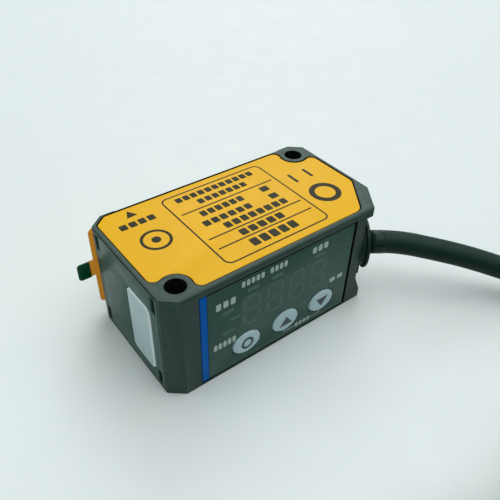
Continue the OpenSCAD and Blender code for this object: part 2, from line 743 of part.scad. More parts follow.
// Gland moulded on the cable: a flange inside, a neck in the wall, a pad, a waist and a round face outside
module cable_gland() color([0.1, 0.11, 0.11]) at_gland() translate([0, 0, gland_z]) {
    edge_r = 0.3;
    rotate([0, 90, 0]) rotate_extrude() {
        rect(0, -gland_end, flange_r, -gland_in);
        rect(0, -gland_in, neck_r, -corner_hollow);
        rect(0, -corner_hollow, gland_r - gland_waist, 0);
        rect(0, -0.1, gland_r, gland_proud - edge_r);
        rect(0, 0, gland_r - edge_r, gland_proud);
        translate([gland_r - edge_r, gland_proud - edge_r]) circle(edge_r);
        rect(0, 0, cable_d / 2 + 0.6, collar_proud);
    }
    along_x(-corner_hollow, -corner_hollow + 0.4) round_rect(-3.5, -4.75, 3.5, 4.75, 0.6);
}

// Centreline of the cable from the gland to the hank
route = concat(
    [for (out = [collar_proud, collar_proud + 2, collar_proud + 4]) gland_point(out)],
    [
        [26.3, -14.35, 10.15], [28.5, -16.45, 9.75], [31, -18.7, 9.15], [33.5, -20.95, 8.45], [36.3, -23.55, 7.5],
        [39.1, -26.3, 6.45], [41.6, -29, 5.5], [43.4, -32.2, 4.7], [44.5, -36, 4], [44.9, -40.5, 3.5],
        [44.8, -46, 3.1], [44.4, -52, 2.85], [44.05, -58, 2.72],
    ],
    [for (y = [13, 9]) [hank_x + hank_l / 2 - cable_d / 2, hank_y + y, tie_t + cable_d / 2]]
);

// Round tube along a centreline that never turns upright
module tube(points, d) {
    sides = 12;
    count = len(points);
    ways = [for (i = [0 : count - 1])
        i == 0 ? unit(points[1] - points[0]) : unit(points[min(i + 1, count - 1)] - points[i - 1])];
    rings = [for (i = [0 : count - 1])
        let (side = unit(cross(ways[i], [0, 0, 1])), top = cross(side, ways[i]))
        for (k = [0 : sides - 1]) points[i] + d / 2 * (cos(360 * k / sides) * side + sin(360 * k / sides) * top)];
    skin = [for (i = [0 : count - 2], k = [0 : sides - 1])
        let (next = (k + 1) % sides)
        [i * sides + k, i * sides + next, (i + 1) * sides + next, (i + 1) * sides + k]];
    polyhedron(
        rings,
        concat([[for (k = [sides - 1 : -1 : 0]) k]], skin, [[for (k = [0 : sides - 1]) (count - 1) * sides + k]])
    );
}

module cable() color([0.1, 0.11, 0.11]) tube(route, cable_d);

// Plan of the hank's outer or inner edge, this far inside the outer edge
module hank_outline(inset) {
    r = hank_w / 2 - inset;
    translate([hank_x, hank_y]) {
        square([hank_straight, 2 * r], center = true);
        for (x = [-hank_straight / 2, hank_straight / 2])
            translate([x, 0]) circle(r);
    }
}

module cable_hank() color([0.1, 0.11, 0.11]) along_z(tie_t, tie_t + hank_h) difference() {
    hank_outline(0);
    hank_outline(hank_band);
}

// Last stretch of the cable, which lies on the hank
end_y = hank_y - hank_w / 2 + hank_band / 2;
end_z = 2 * tie_t + hank_h + cable_d / 2;
end_l = 16;

module cable_end() color([0.1, 0.11, 0.11]) translate([hank_x + hank_straight / 2, end_y, end_z])
    rotate([0, -90, 0]) cylinder(d = cable_d, h = end_l);

module hank_ties() color([0.05, 0.05, 0.05]) for (x = [-1, 1] * hank_straight / 3, back = [0, 1])
    translate([hank_x + x, hank_y, 0]) rotate(180 * back)
        along_x(-tie_w / 2, tie_w / 2) translate([-hank_w / 2, 0]) difference() {
            rect(-tie_t, 0, hank_band + tie_t, hank_h + 2 * tie_t);
            rect(0, tie_t, hank_band, tie_t + hank_h);
        }

module lead_wires() {
    tones = [[0.35, 0.2, 0.1], [0.1, 0.2, 0.6], [0.08, 0.08, 0.08], [0.9, 0.9, 0.9], [0.85, 0.4, 0.5]];
    for (i = [0 : len(tones) - 1]) color(tones[i])
        translate([
            hank_x + hank_straight / 2 - end_l,
            end_y + (cable_d - lead_d) / 2 * cos(72 * i), end_z + (cable_d - lead_d) / 2 * sin(72 * i)
        ])
            rotate([0, -90, 0]) cylinder(d = lead_d, h = lead_l);
}

housing();
end_cover();
end_pane();
end_gasket();
beam_window();
window_gasket();
protective_film();
pull_tab();
label_plate();
display_panel();
accent_strip();
panel_carrier();
set_key();
up_key();
down_key();
key_switches();
display_board();
digit_display();
indicator_leds();
board_flex();
main_board();
controller_chip();
wire_connector();
inner_leads();
optical_bench();
bench_screws();
board_screws();
laser_barrel();
collimating_lens();
laser_diode();
receiver_lens();
fold_mirror();
sensor_board();
image_sensor();
cable_gland();
cable();
cable_hank();
cable_end();
hank_ties();
lead_wires();
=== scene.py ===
"""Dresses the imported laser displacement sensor: soft edges, print, keys, cable, finishes and a stage."""

import json
import math
from typing import NamedTuple

import bmesh
import bpy
from mathutils import Euler, Matrix, Vector


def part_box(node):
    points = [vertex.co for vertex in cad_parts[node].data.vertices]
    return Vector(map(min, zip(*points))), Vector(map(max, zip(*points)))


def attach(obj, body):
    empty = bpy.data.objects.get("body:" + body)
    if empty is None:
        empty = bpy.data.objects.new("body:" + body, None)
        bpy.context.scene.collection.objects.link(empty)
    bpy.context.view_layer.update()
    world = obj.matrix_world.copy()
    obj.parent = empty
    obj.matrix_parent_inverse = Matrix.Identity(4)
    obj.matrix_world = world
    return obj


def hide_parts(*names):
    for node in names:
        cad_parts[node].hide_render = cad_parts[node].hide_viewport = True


bl_info = {
    "name": "Laser displacement sensor",
    "version": (1, 0, 0),
    "blender": (4, 5, 0),
    "location": "3D View > Sidebar > Sensor",
    "description": "Dresses a packed laser displacement sensor with its finishes, print, keys and cable",
    "category": "Object",
}

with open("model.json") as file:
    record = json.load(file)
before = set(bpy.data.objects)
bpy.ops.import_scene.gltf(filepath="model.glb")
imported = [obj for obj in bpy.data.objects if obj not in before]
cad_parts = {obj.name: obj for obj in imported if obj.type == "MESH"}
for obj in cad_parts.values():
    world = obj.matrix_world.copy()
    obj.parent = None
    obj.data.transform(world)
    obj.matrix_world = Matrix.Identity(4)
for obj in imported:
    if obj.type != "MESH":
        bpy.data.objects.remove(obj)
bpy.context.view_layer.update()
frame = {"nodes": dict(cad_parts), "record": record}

MM = 0.001
# An edge is rounded if it turns by more than this angle
SHARP = math.radians(25)
# Two places this close, in metres, count as one
NEAR = 2e-6
# Ending of the finishes made here, because the frame brings plain ones named after the record's slots
OWN = "_finish"


def millimetres(name, description, value):
    """A length that is written in millimetres and kept in metres."""
    return bpy.props.FloatProperty(
        name=name, description=description, default=value * MM, unit="LENGTH", subtype="DISTANCE", precision=5
    )


def tone(name, description, red, green, blue):
    """A colour that is written as it shows on a screen, from 0 to 255."""
    screen = (red / 255, green / 255, blue / 255)
    return bpy.props.FloatVectorProperty(
        name=name, description=description, default=screen, min=0, max=1, subtype="COLOR_GAMMA"
    )


class SensorColours(bpy.types.PropertyGroup):
    """Colours of the sensor's surfaces."""

    housing: tone("Housing", "Coated metal of the housing and the end cover", 36, 60, 53)
    label: tone("Label", "Film of the label", 230, 178, 22)
    label_ink: tone("Label ink", "Print on the label", 42, 42, 22)
    panel: tone("Panel", "Smoked film over the display", 52, 85, 75)
    panel_ink: tone("Panel ink", "Print on the panel", 174, 190, 185)
    zone: tone("Display zone", "Panel over the digits", 60, 92, 79)
    digits: tone("Digits", "Unlit digits behind the panel", 72, 107, 91)
    strip: tone("Strip", "Coloured strip beside the panel", 0, 98, 188)
    keys: tone("Keys", "Caps of the keys", 184, 213, 218)
    key_ink: tone("Key ink", "Signs on the keys", 46, 64, 66)
    pane: tone("Pane", "Pale pane on the plain end", 190, 212, 209)
    film: tone("Film", "Protective film on the beam face", 240, 194, 92)
    tab: tone("Tab", "Pull tab of the protective film", 0, 78, 46)
    cable: tone("Cable", "Jacket of the cable and its gland", 18, 44, 38)
    floor: tone("Floor", "Floor of the stage", 221, 232, 231)


class SensorSizes(bpy.types.PropertyGroup):
    """Sizes of the sensor's edges, print, keys and cable."""

    outer_edge: millimetres("Outer edge", "Round edge between two outer faces of the housing", 0.2)
    brow_edge: millimetres("Brow edge", "Round edge between the top and the display face", 0.5)
    fine_edge: millimetres("Fine edge", "Round edge of small plates and recesses", 0.08)
    pane_edge: millimetres("Pane edge", "Round edge of the pale pane", 0.3)
    # Width of the dark seam edges, whose darkness is partly painted shade in the gaps
    seam: millimetres("Seam", "Dark edge of the end cover and the panel", 0.15)
    ink: millimetres("Ink", "Thickness of the print", 0.02)
    line: millimetres("Line", "Width of the label's lines", 0.27)
    panel_line: millimetres("Panel line", "Width of the thin lines below the keys", 0.13)
    key_edge: millimetres("Key edge", "Round edge of a key's cap", 0.3)
    key_crown: millimetres("Key crown", "Rise of a key's cap towards its middle", 0.05)
    cable_diameter: millimetres("Cable diameter", "Outside of the cable", 4.2)
    sleeve: millimetres("Sleeve", "Length of the sleeve at the gland", 3.2)
    lead_diameter: millimetres("Lead diameter", "Outside of one lead", 1.2)
    bare: millimetres("Bare lead", "Length of a lead's bare end", 5)


def sizes():
    """The sizes that the sidebar shows."""
    return bpy.context.scene.sensor_sizes


def colours():
    """The colours that the sidebar shows."""
    return bpy.context.scene.sensor_colours


def linear(colour):
    """A screen colour as the light that a shader takes."""
    return [c / 12.92 if c <= 0.04045 else ((c + 0.055) / 1.055) ** 2.4 for c in colour]


def shaded(colour, share):
    """A colour made darker or lighter by a share."""
    return [min(1.0, c * share) for c in colour]


# Finishes

LEAD_COLOURS = {
    "lead_brown": (0.36, 0.21, 0.12),
    "lead_blue": (0.1, 0.22, 0.6),
    "lead_black": (0.09, 0.09, 0.09),
    "lead_white": (0.88, 0.88, 0.86),
    "lead_pink": (0.85, 0.45, 0.52),
}


class Coat(NamedTuple):
    """What a finish is made of: grain, relief and patch in millimetres, mottle as a share of the colour."""

    colour: tuple
    roughness: float
    grain: float
    relief: float
    mottle: float = 0.08
    patch: float = 4.0
    specular: float = 0.5
    metallic: float = 0.0
    subsurface: float = 0.0
    lacquer: float = 0.0
    clear: float = 0.0
    translucent: float = 0.0


def spread(tree, size, detail):
    """Noise over the surface whose spots are about this size."""
    place = tree.nodes.new("ShaderNodeTexCoord")
    noise = tree.nodes.new("ShaderNodeTexNoise")
    noise.inputs["Scale"].default_value = 1 / size
    noise.inputs["Detail"].default_value = detail
    tree.links.new(place.outputs["Object"], noise.inputs["Vector"])
    return noise.outputs["Fac"]


def between(tree, value, low, high):
    """Noise, most of which lies from 0.3 to 0.7, brought to another range."""
    node = tree.nodes.new("ShaderNodeMapRange")
    for socket, limit in (("From Min", 0.3), ("From Max", 0.7), ("To Min", low), ("To Max", high)):
        node.inputs[socket].default_value = limit
    tree.links.new(value, node.inputs["Value"])
    return node.outputs["Result"]


def mixed(tree, factor, dark, light):
    """Two colours mixed by noise."""
    node = tree.nodes.new("ShaderNodeMix")
    node.data_type = "RGBA"
    tree.links.new(factor, node.inputs[0])
    node.inputs[6].default_value = (*dark, 1)
    node.inputs[7].default_value = (*light, 1)
    return node.outputs[2]


def grained(name, coat):
    """A finish whose colour, gloss and relief vary over the surface."""
    material = bpy.data.materials.new(name + OWN)
    material.use_nodes = True
    tree = material.node_tree
    shader = tree.nodes["Principled BSDF"]
    link = tree.links.new
    base = linear(coat.colour)
    patches = between(tree, spread(tree, coat.patch * MM, 3.0), 0, 1)
    colour = mixed(tree, patches, shaded(base, 1 - coat.mottle), shaded(base, 1 + coat.mottle))
    link(colour, shader.inputs["Base Color"])
    bright, dull = 0.88 * coat.roughness, 1.12 * coat.roughness
    link(between(tree, spread(tree, 6 * coat.grain * MM, 2.0), bright, dull), shader.inputs["Roughness"])
    bump = tree.nodes.new("ShaderNodeBump")
    bump.inputs["Strength"].default_value = 0.6
    bump.inputs["Distance"].default_value = coat.relief * MM
    link(spread(tree, coat.grain * MM, 3.0), bump.inputs["Height"])
    link(bump.outputs["Normal"], shader.inputs["Normal"])
    for socket, value in (
        ("Specular IOR Level", coat.specular), ("Metallic", coat.metallic), ("Coat Weight", coat.lacquer),
        ("Subsurface Weight", coat.subsurface), ("Transmission Weight", coat.clear),
    ):
        shader.inputs[socket].default_value = value
    if coat.translucent:
        lit = tree.nodes.new("ShaderNodeBsdfTranslucent")
        lit.inputs["Color"].default_value = (*base, 1)
        blend = tree.nodes.new("ShaderNodeMixShader")
        blend.inputs["Fac"].default_value = coat.translucent
        link(shader.outputs["BSDF"], blend.inputs[1])
        link(lit.outputs["BSDF"], blend.inputs[2])
        link(blend.outputs["Shader"], tree.nodes["Material Output"].inputs["Surface"])
    return material


def coats():
    """Every finish: colour, roughness, grain, relief, mottle and patch, and what else it needs."""
    palette = colours()
    black = (0.1, 0.1, 0.1)
    return {
        "housing_coat": Coat(palette.housing, 0.44, 0.24, 0.03, 0.13, 0.3, specular=0.26),
        # The end cover's coat is the housing's colour made lighter: painted light on the plain end
        "cover_coat": Coat(shaded(palette.housing, 1.4), 0.36, 0.3, 0.008, 0.1, 0.45, specular=0.12),
        # Dark seams: partly real joints, partly painted shade in the gaps, recesses and mounting holes
        "seam_coat": Coat(shaded(palette.housing, 0.15), 0.8, 0.2, 0.01, specular=0.1),
        "label_film": Coat(palette.label, 0.45, 0.3, 0.004, 0.03, 6, specular=0.15),
        "label_ink": Coat(palette.label_ink, 0.5, 0.2, 0.003, 0.12, 0.6, specular=0.1),
        "panel_film": Coat(palette.panel, 0.28, 0.8, 0.003, 0.05, 8, specular=0.15),
        "panel_ink": Coat(palette.panel_ink, 0.4, 0.2, 0.002, 0.1, 0.6),
        "panel_zone": Coat(palette.zone, 0.28, 0.8, 0.003, 0.05, 4, specular=0.15),
        "panel_digits": Coat(palette.digits, 0.28, 0.8, 0.003, 0.06, 2, specular=0.15),
        "strip_film": Coat(palette.strip, 0.35, 0.4, 0.003, 0.06, 3, specular=0.04),
        "key_plastic": Coat(palette.keys, 0.34, 0.25, 0.006, 0.04, 2, subsurface=0.1),
        "key_ink": Coat(palette.key_ink, 0.45, 0.2, 0.002, 0.1, 0.5),
        "pane_plastic": Coat(palette.pane, 0.42, 0.35, 0.008, 0.04, 3, subsurface=0.15),
        # Lighter copy of the pane's colour on its round rim: a painted highlight
        "pane_rim": Coat(shaded(palette.pane, 1.25), 0.4, 0.3, 0.004, 0.04, 3),
        "amber_film": Coat(palette.film, 0.2, 0.9, 0.006, 0.05, 5, translucent=0.5),
        "film_shade": Coat((0.46, 0.29, 0.08), 0.25, 0.9, 0.006, 0.05, 5, specular=0.2),
        "tab_film": Coat(palette.tab, 0.3, 0.5, 0.004, 0.1, 1.5, specular=0.2),
        "cable_jacket": Coat(palette.cable, 0.45, 0.22, 0.01, 0.1, 3, specular=0.13),
        "gland_rubber": Coat(palette.cable, 0.4, 0.18, 0.008, 0.08, 2, specular=0.12),
        "sleeve_plastic": Coat(palette.cable, 0.26, 0.4, 0.004, 0.06, 2, specular=0.13),
        "tie_plastic": Coat(black, 0.5, 0.3, 0.02, 0.1, 2),
        "window_glass": Coat((0.13, 0.07, 0.07), 0.12, 2.0, 0.001, 0.05, 8, lacquer=0.6),
        "seal_rubber": Coat((0.09, 0.09, 0.09), 0.65, 0.2, 0.015),
        "black_plastic": Coat(black, 0.5, 0.2, 0.012),
        "board_laminate": Coat((0.1, 0.33, 0.19), 0.45, 0.4, 0.01, 0.15, 1.5),
        "digit_plastic": Coat((0.14, 0.05, 0.05), 0.35, 0.3, 0.005),
        "pale_plastic": Coat((0.86, 0.85, 0.78), 0.4, 0.3, 0.008),
        "flex_film": Coat((0.68, 0.47, 0.14), 0.4, 0.5, 0.006),
        "bench_metal": Coat((0.52, 0.53, 0.54), 0.4, 0.25, 0.015, metallic=0.9),
        "screw_steel": Coat((0.74, 0.74, 0.73), 0.28, 0.12, 0.006, metallic=1.0),
        "barrel_brass": Coat((0.79, 0.64, 0.34), 0.3, 0.15, 0.006, metallic=1.0),
        "lens_glass": Coat((0.86, 0.92, 0.95), 0.05, 3.0, 0.001, clear=0.9),
        "mirror_glass": Coat((0.9, 0.91, 0.92), 0.04, 3.0, 0.001, metallic=1.0),
        "copper": Coat((0.82, 0.5, 0.33), 0.32, 0.1, 0.01, metallic=1.0),
        **{name: Coat(colour, 0.4, 0.2, 0.006) for name, colour in LEAD_COLOURS.items()},
        "floor_card": Coat(palette.floor, 0.6, 1.2, 0.01, 0.008, 60),
    }


def finish(name):
    """The finish of that name, made at its first use."""
    return bpy.data.materials.get(name + OWN) or grained(name, coats()[name])


# Shapes


def meshed(name, shape):
    """A mesh of that name from a finished shape."""
    mesh = bpy.data.meshes.new(name)
    shape.to_mesh(mesh)
    shape.free()
    return mesh


def linked(name, shape, *finishes):
    """An object of that name from a finished shape."""
    mesh = meshed(name, shape)
    made = bpy.data.objects.new(name, mesh)
    bpy.context.scene.collection.objects.link(made)
    for one in finishes:
        mesh.materials.append(finish(one))
    return made


def seated(made, slot, *nodes, body="body"):
    """Lets a piece ride on its body and stand for its CAD nodes."""
    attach(made, body)
    if nodes:
        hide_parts(*nodes)
    return made


def merged(node):
    """A copy of a CAD node's shape with its triangles joined into whole faces."""
    shape = bmesh.new()
    shape.from_mesh(frame["nodes"][node].data)
    bmesh.ops.remove_doubles(shape, verts=shape.verts, dist=1e-7)
    bmesh.ops.dissolve_limit(shape, angle_limit=math.radians(0.5), verts=shape.verts, edges=shape.edges)
    return shape


def softened(name, node, width, *finishes, share=None, edge_slot=-1):
    """A copy of a CAD node with round edges; share gives an edge's part of the width, edge_slot a finish."""
    shape = merged(node)
    weights = shape.edges.layers.float.new("bevel_weight_edge")
    for edge in shape.edges:
        if len(edge.link_faces) == 2 and edge.calc_face_angle() > SHARP:
            edge[weights] = share(edge) if share else 1.0
            edge.smooth = edge[weights] > 0
    for face in shape.faces:
        face.smooth = True
    made = linked(name, shape, *finishes)
    bevel = made.modifiers.new("Soft edges", "BEVEL")
    bevel.limit_method = "WEIGHT"
    bevel.width = width
    bevel.segments = 3
    bevel.loop_slide = False
    bevel.material = edge_slot
    bevel.use_clamp_overlap = False
    bevel.harden_normals = True
    return made


def dressed(name, node, slot, width, *finishes, **edges):
    """A softened copy of a CAD node that stands for it on the sensor's body."""
    return seated(softened(name, node, width, *finishes, **edges), slot, node)


def lies_at(edge, axis, value):
    """Whether both ends of an edge have that coordinate on an axis."""
    return all(abs(getattr(vertex.co, axis) - value) < NEAR for vertex in edge.verts)


def arc(middle, radius, start, stop, steps):
    """Points along an arc between two angles in degrees."""
    angles = [math.radians(start + (stop - start) * k / steps) for k in range(steps + 1)]
    return [(middle[0] + radius * math.cos(a), middle[1] + radius * math.sin(a)) for a in angles]


def rounded(x0, y0, x1, y1, radius, steps=6):
    """Outline of a rectangle with round corners."""
    corners = [(x1 - radius, y0 + radius, -90), (x1 - radius, y1 - radius, 0)]
    corners += [(x0 + radius, y1 - radius, 90), (x0 + radius, y0 + radius, 180)]
    points = []
    for x, y, start in corners:
        points += arc((x, y), radius, start, start + 90, steps)
    return points


def disc(x, y, radius, steps=48):
    """Outline of a disc."""
    return arc((x, y), radius, 0, 360, steps)[:-1]


def bar(start, stop, width):
    """Outline of a straight bar with round ends."""
    way = math.degrees(math.atan2(stop[1] - start[1], stop[0] - start[0]))
    return arc(stop, width / 2, way - 90, way + 90, 8) + arc(start, width / 2, way + 90, way + 270, 8)


def outward(shape):
    """The shape with all its faces turned outward."""
    bmesh.ops.recalc_face_normals(shape, faces=shape.faces)
    return shape


def ringed(shape, levels, place):
    """Adds a ring of points for each outline and its height."""
    return [[shape.verts.new(place(x, y, z)) for x, y in outline] for outline, z in levels]


def bridged(shape, rings):
    """Adds the faces between each ring of points and the next."""
    faces = []
    for one, two in zip(rings, rings[1:]):
        for k in range(len(one)):
            j = (k + 1) % len(one)
            faces.append(shape.faces.new((one[k], one[j], two[j], two[k])))
    return faces


def plates(outlines, low, high, place):
    """A shape of flat plates with these outlines between two heights."""
    shape = bmesh.new()
    for outline in outlines:
        under, over = ringed(shape, ((outline, low), (outline, high)), place)
        shape.faces.new(over)
        shape.faces.new(under[::-1])
        bridged(shape, [under, over])
    return outward(shape)


def loops(pairs, low, high, place):
    """A shape of flat rings, each between an outer and an inner outline of equal count."""
    shape = bmesh.new()
    for outer, inner in pairs:
        rings = ringed(shape, ((outer, low), (outer, high), (inner, high), (inner, low)), place)
        bridged(shape, rings + rings[:1])
    return outward(shape)


def turned(profile, start, way, sides=48):
    """A ring whose profile of radius and distance runs round an axis."""
    across = way.cross(Vector((0, 0, 1))).normalized()
    above = across.cross(way)
    levels = [(disc(0, 0, radius, sides), far) for radius, far in profile]
    shape = bmesh.new()
    rings = ringed(shape, levels, lambda x, y, far: start + way * far + x * across + y * above)
    for face in bridged(shape, rings + rings[:1]):
        face.smooth = True
    return outward(shape)


def face_middle(node):
    """The middle of a node as the display face shows it, in millimetres."""
    low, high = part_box(node)
    return (low.x + high.x) / 2 / MM, (low.z + high.z) / 2 / MM


def on_top(x, y, z):
    """A place on the label face, in millimetres."""
    return Vector((x, y, z)) * MM


def on_front(x, z, out):
    """A place on the display face, in millimetres, with out counted from the middle to the front."""
    return Vector((x, -out, z)) * MM


def on_back(x, z, out):
    """A place on the beam face, in millimetres, with out counted from the middle to the back."""
    return Vector((x, out, z)) * MM


# Rows of like marks, by Geometry Nodes


def row_tree():
    """Geometry Nodes: the object's own mark, repeated along a line."""
    known = bpy.data.node_groups.get("Row of marks")
    if known:
        return known
    tree = bpy.data.node_groups.new("Row of marks", "GeometryNodeTree")
    tree.interface.new_socket("Geometry", in_out="OUTPUT", socket_type="NodeSocketGeometry")
    sockets = {"Geometry": "Geometry", "Count": "Int", "Pitch": "Vector", "Finish": "Material"}
    for name, kind in sockets.items():
        tree.interface.new_socket(name, in_out="INPUT", socket_type="NodeSocket" + kind)
    start = tree.nodes.new("NodeGroupInput")
    line = tree.nodes.new("GeometryNodeMeshLine")
    spots = tree.nodes.new("GeometryNodeInstanceOnPoints")
    real = tree.nodes.new("GeometryNodeRealizeInstances")
    paint = tree.nodes.new("GeometryNodeSetMaterial")
    end = tree.nodes.new("NodeGroupOutput")
    for source, socket, target, into in (
        (start, "Count", line, "Count"), (start, "Pitch", line, "Offset"), (line, "Mesh", spots, "Points"),
        (start, "Geometry", spots, "Instance"), (spots, "Instances", real, "Geometry"),
        (real, "Geometry", paint, "Geometry"), (start, "Finish", paint, "Material"),
        (paint, "Geometry", end, "Geometry"),
    ):
        tree.links.new(source.outputs[socket], target.inputs[into])
    return tree


def row(shape, count, pitch, finish_name):
    """A mesh with the shape repeated count times along the sensor, at a pitch in millimetres."""
    mark = linked("mark", shape, finish_name)
    tree = row_tree()
    modifier = mark.modifiers.new("Row", "NODES")
    modifier.node_group = tree
    inputs = {item.name: item.identifier for item in tree.interface.items_tree if item.in_out == "INPUT"}
    modifier[inputs["Count"]] = count
    modifier[inputs["Pitch"]] = (pitch * MM, 0, 0)
    modifier[inputs["Finish"]] = finish(finish_name)
    seen = mark.evaluated_get(bpy.context.evaluated_depsgraph_get())
    mesh = bpy.data.meshes.new_from_object(seen)
    bpy.data.objects.remove(mark)
    return mesh


def gathered(name, meshes, finish_name):
    """One object from several meshes."""
    shape = bmesh.new()
    for mesh in meshes:
        shape.from_mesh(mesh)
    return linked(name, outward(shape), finish_name)


# Stage

# Where the camera stands in millimetres, how it is turned in degrees, and its lens
CAMERA_PLACE = (-45.26, -58.81, 72.9)
CAMERA_TURN = (50.46, -1.48, -37.36)
CAMERA_LENS = 40.36
# Each lamp's place in metres, the degrees of sky that it fills, and its strength
LAMPS = {
    "roof_lamp": ((0.12, -0.06, 0.6), 70, 2.25),
    "side_lamp": ((-0.45, 0.4, 0.28), 26, 0.3),
    "back_lamp": ((0.3, 0.38, 0.42), 32, 0.78),
}
# Place that the lamps shine at, in metres
LAMP_AIM = (0, 0, 0.01)


class SENSOR_OT_stage(bpy.types.Operator):
    """Make the camera, the lamps and the floor"""

    bl_idname = "sensor.stage"
    bl_label = "Stage"

    def execute(self, context):
        scene = context.scene
        scene.view_settings.view_transform = "Standard"
        view = bpy.data.cameras.new("camera")
        view.lens = CAMERA_LENS
        view.sensor_width = 36
        view.clip_start = 0.001
        camera = bpy.data.objects.new("camera", view)
        turn = Euler([math.radians(angle) for angle in CAMERA_TURN])
        camera.matrix_world = Matrix.LocRotScale(Vector(CAMERA_PLACE) * MM, turn, None)
        scene.collection.objects.link(camera)
        scene.camera = camera
        for name, (place, degrees, strength) in LAMPS.items():
            self.lamp(context, name, place, degrees, strength)
        self.surroundings(context)
        shape = bmesh.new()
        half, drop = 20.0, 0.02 * MM
        corners = ((-half, -half), (half, -half), (half, half), (-half, half))
        shape.faces.new([shape.verts.new((x, y, -drop)) for x, y in corners])
        linked("floor", shape, "floor_card")
        return {"FINISHED"}

    def lamp(self, context, name, place, degrees, strength):
        """A soft lamp that shines from a place towards the sensor and fills so many degrees of the sky."""
        light = bpy.data.lights.new(name, "SUN")
        light.angle = math.radians(degrees)
        light.energy = strength
        made = bpy.data.objects.new(name, light)
        made.location = place
        made.rotation_euler = (Vector(LAMP_AIM) - Vector(place)).to_track_quat("-Z", "Y").to_euler()
        context.scene.collection.objects.link(made)

    def surroundings(self, context):
        """Even light from all round, and a pale ground for the camera."""
        world = bpy.data.worlds.new("surroundings")
        context.scene.world = world
        world.use_nodes = True
        tree = world.node_tree
        tree.nodes.clear()
        link = tree.links.new
        path = tree.nodes.new("ShaderNodeLightPath")
        seen = path.outputs["Is Camera Ray"]
        for ray in ("Is Glossy Ray", "Is Transmission Ray"):
            either = tree.nodes.new("ShaderNodeMath")
            either.operation = "MAXIMUM"
            link(seen, either.inputs[0])
            link(path.outputs[ray], either.inputs[1])
            seen = either.outputs[0]
        choice = tree.nodes.new("ShaderNodeMixShader")
        link(seen, choice.inputs["Fac"])
        sky, ground = ((0.93, 0.97, 1.0), 0.1), (linear(colours().floor), 0.97)
        for socket, (colour, strength) in zip(choice.inputs[1:], (sky, ground)):
            light = tree.nodes.new("ShaderNodeBackground")
            light.inputs["Color"].default_value = (*colour, 1)
            light.inputs["Strength"].default_value = strength
            link(light.outputs["Background"], socket)
        end = tree.nodes.new("ShaderNodeOutputWorld")
        link(choice.outputs["Shader"], end.inputs["Surface"])


# Cable

# Chamfer of the cable corner along the length and the depth, and the height of the gland's middle
CABLE_CORNER = (3.7, 5.2)
GLAND_HEIGHT = 10.3
# The cable's straight start, as distances out from that chamfer, and its route from there to the hank
STRAIGHT = (0.6, 2.6, 4.6)
ROUTE = (
    (26.3, -14.35, 10.15), (28.5, -16.45, 9.75), (31.0, -18.7, 9.15), (33.5, -20.95, 8.45),
    (36.3, -23.55, 7.5), (39.1, -26.3, 6.45), (41.6, -29.0, 5.5), (43.4, -32.2, 4.7), (44.5, -36.0, 4.0),
    (44.9, -40.5, 3.5), (44.8, -46.0, 3.1), (44.4, -52.0, 2.85), (44.05, -58.0, 2.72), (43.9, -64.0, 2.7),
    (43.9, -68.0, 2.7),
)
HANK_COLUMNS = 3


def gland_way():
    """The way that the chamfer of the cable corner faces."""
    along, across = CABLE_CORNER
    return Vector((across, -along, 0)).normalized()


def gland_point(out):
    """A place on the gland's axis, so many millimetres out from the chamfer."""
    low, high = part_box("housing")
    along, across = CABLE_CORNER
    middle = Vector((high.x - along / 2 * MM, low.y + across / 2 * MM, GLAND_HEIGHT * MM))
    return middle + out * MM * gland_way()


def eased(u, start, stop):
    """A share from 0 to 1 that grows smoothly between start and stop."""
    t = min(1.0, max(0.0, (u - start) / (stop - start)))
    return t * t * (3 - 2 * t)


class Hank:
    """Walks the folds of the hank, clockwise from above, and keeps the points."""

    def __init__(self, low, high, diameter):
        self.middle_y = (low.y + high.y) / 2
        half = (high.y - low.y) / 2
        self.right_x = high.x - half
        self.left_x = low.x + half
        self.columns = [half - diameter * (k + 0.5) for k in range(HANK_COLUMNS)]
        count = round((high.z - low.z) / diameter)
        self.layers = [low.z + diameter * (k + 0.5) for k in range(count)]
        self.radius = self.columns[0]
        self.height = self.layers[0]
        self.points = []

    def walk(self, side, radius=None, height=None, shift=(0, 1), climb=(0, 1), begin=0.0):
        """One fold or straight side, on which the cable may move to another column or layer."""
        to_radius = self.radius if radius is None else radius
        to_height = self.height if height is None else height
        steps = 12 if side in ("right", "left") else 4
        for k in range(1, steps + 1):
            u = k / steps
            if u <= begin:
                continue
            r = self.radius + (to_radius - self.radius) * eased(u, *shift)
            z = self.height + (to_height - self.height) * eased(u, *climb)
            if side in ("right", "left"):
                fold_x, start = (self.right_x, 90) if side == "right" else (self.left_x, -90)
                a = math.radians(start - 180 * u)
                spot = (fold_x + r * math.cos(a), self.middle_y + r * math.sin(a), z)
            else:
                along = self.right_x + (self.left_x - self.right_x) * (u if side == "front" else 1 - u)
                spot = (along, self.middle_y + (-r if side == "front" else r), z)
            self.points.append(spot)
        self.radius = to_radius
        self.height = to_height

    def wind(self, top):
        """Outer column upwards, middle column downwards, inner column upwards, then onto the hank."""
        outer, middle, inner = self.columns
        layers = self.layers
        self.walk("right", begin=0.5)
        for k in range(len(layers)):
            self.walk("front")
            self.walk("left")
            if k + 1 < len(layers):
                self.walk("back")
                self.walk("right", height=layers[k + 1], climb=(0, 0.3))
        self.walk("back", radius=middle)
        for k in reversed(range(len(layers))):
            self.walk("right")
            self.walk("front")
            if k > 0:
                self.walk("left", height=layers[k - 1], climb=(0.5, 1))
                self.walk("back")
        self.walk("left", radius=inner, shift=(0, 0.5))
        for k in range(len(layers)):
            self.walk("back")
            if k + 1 < len(layers):
                self.walk("right")
                self.walk("front", height=layers[k + 1])
                self.walk("left")
        self.walk("right", radius=middle, height=top, shift=(0.4, 1), climb=(0, 0.6))
        return self.points


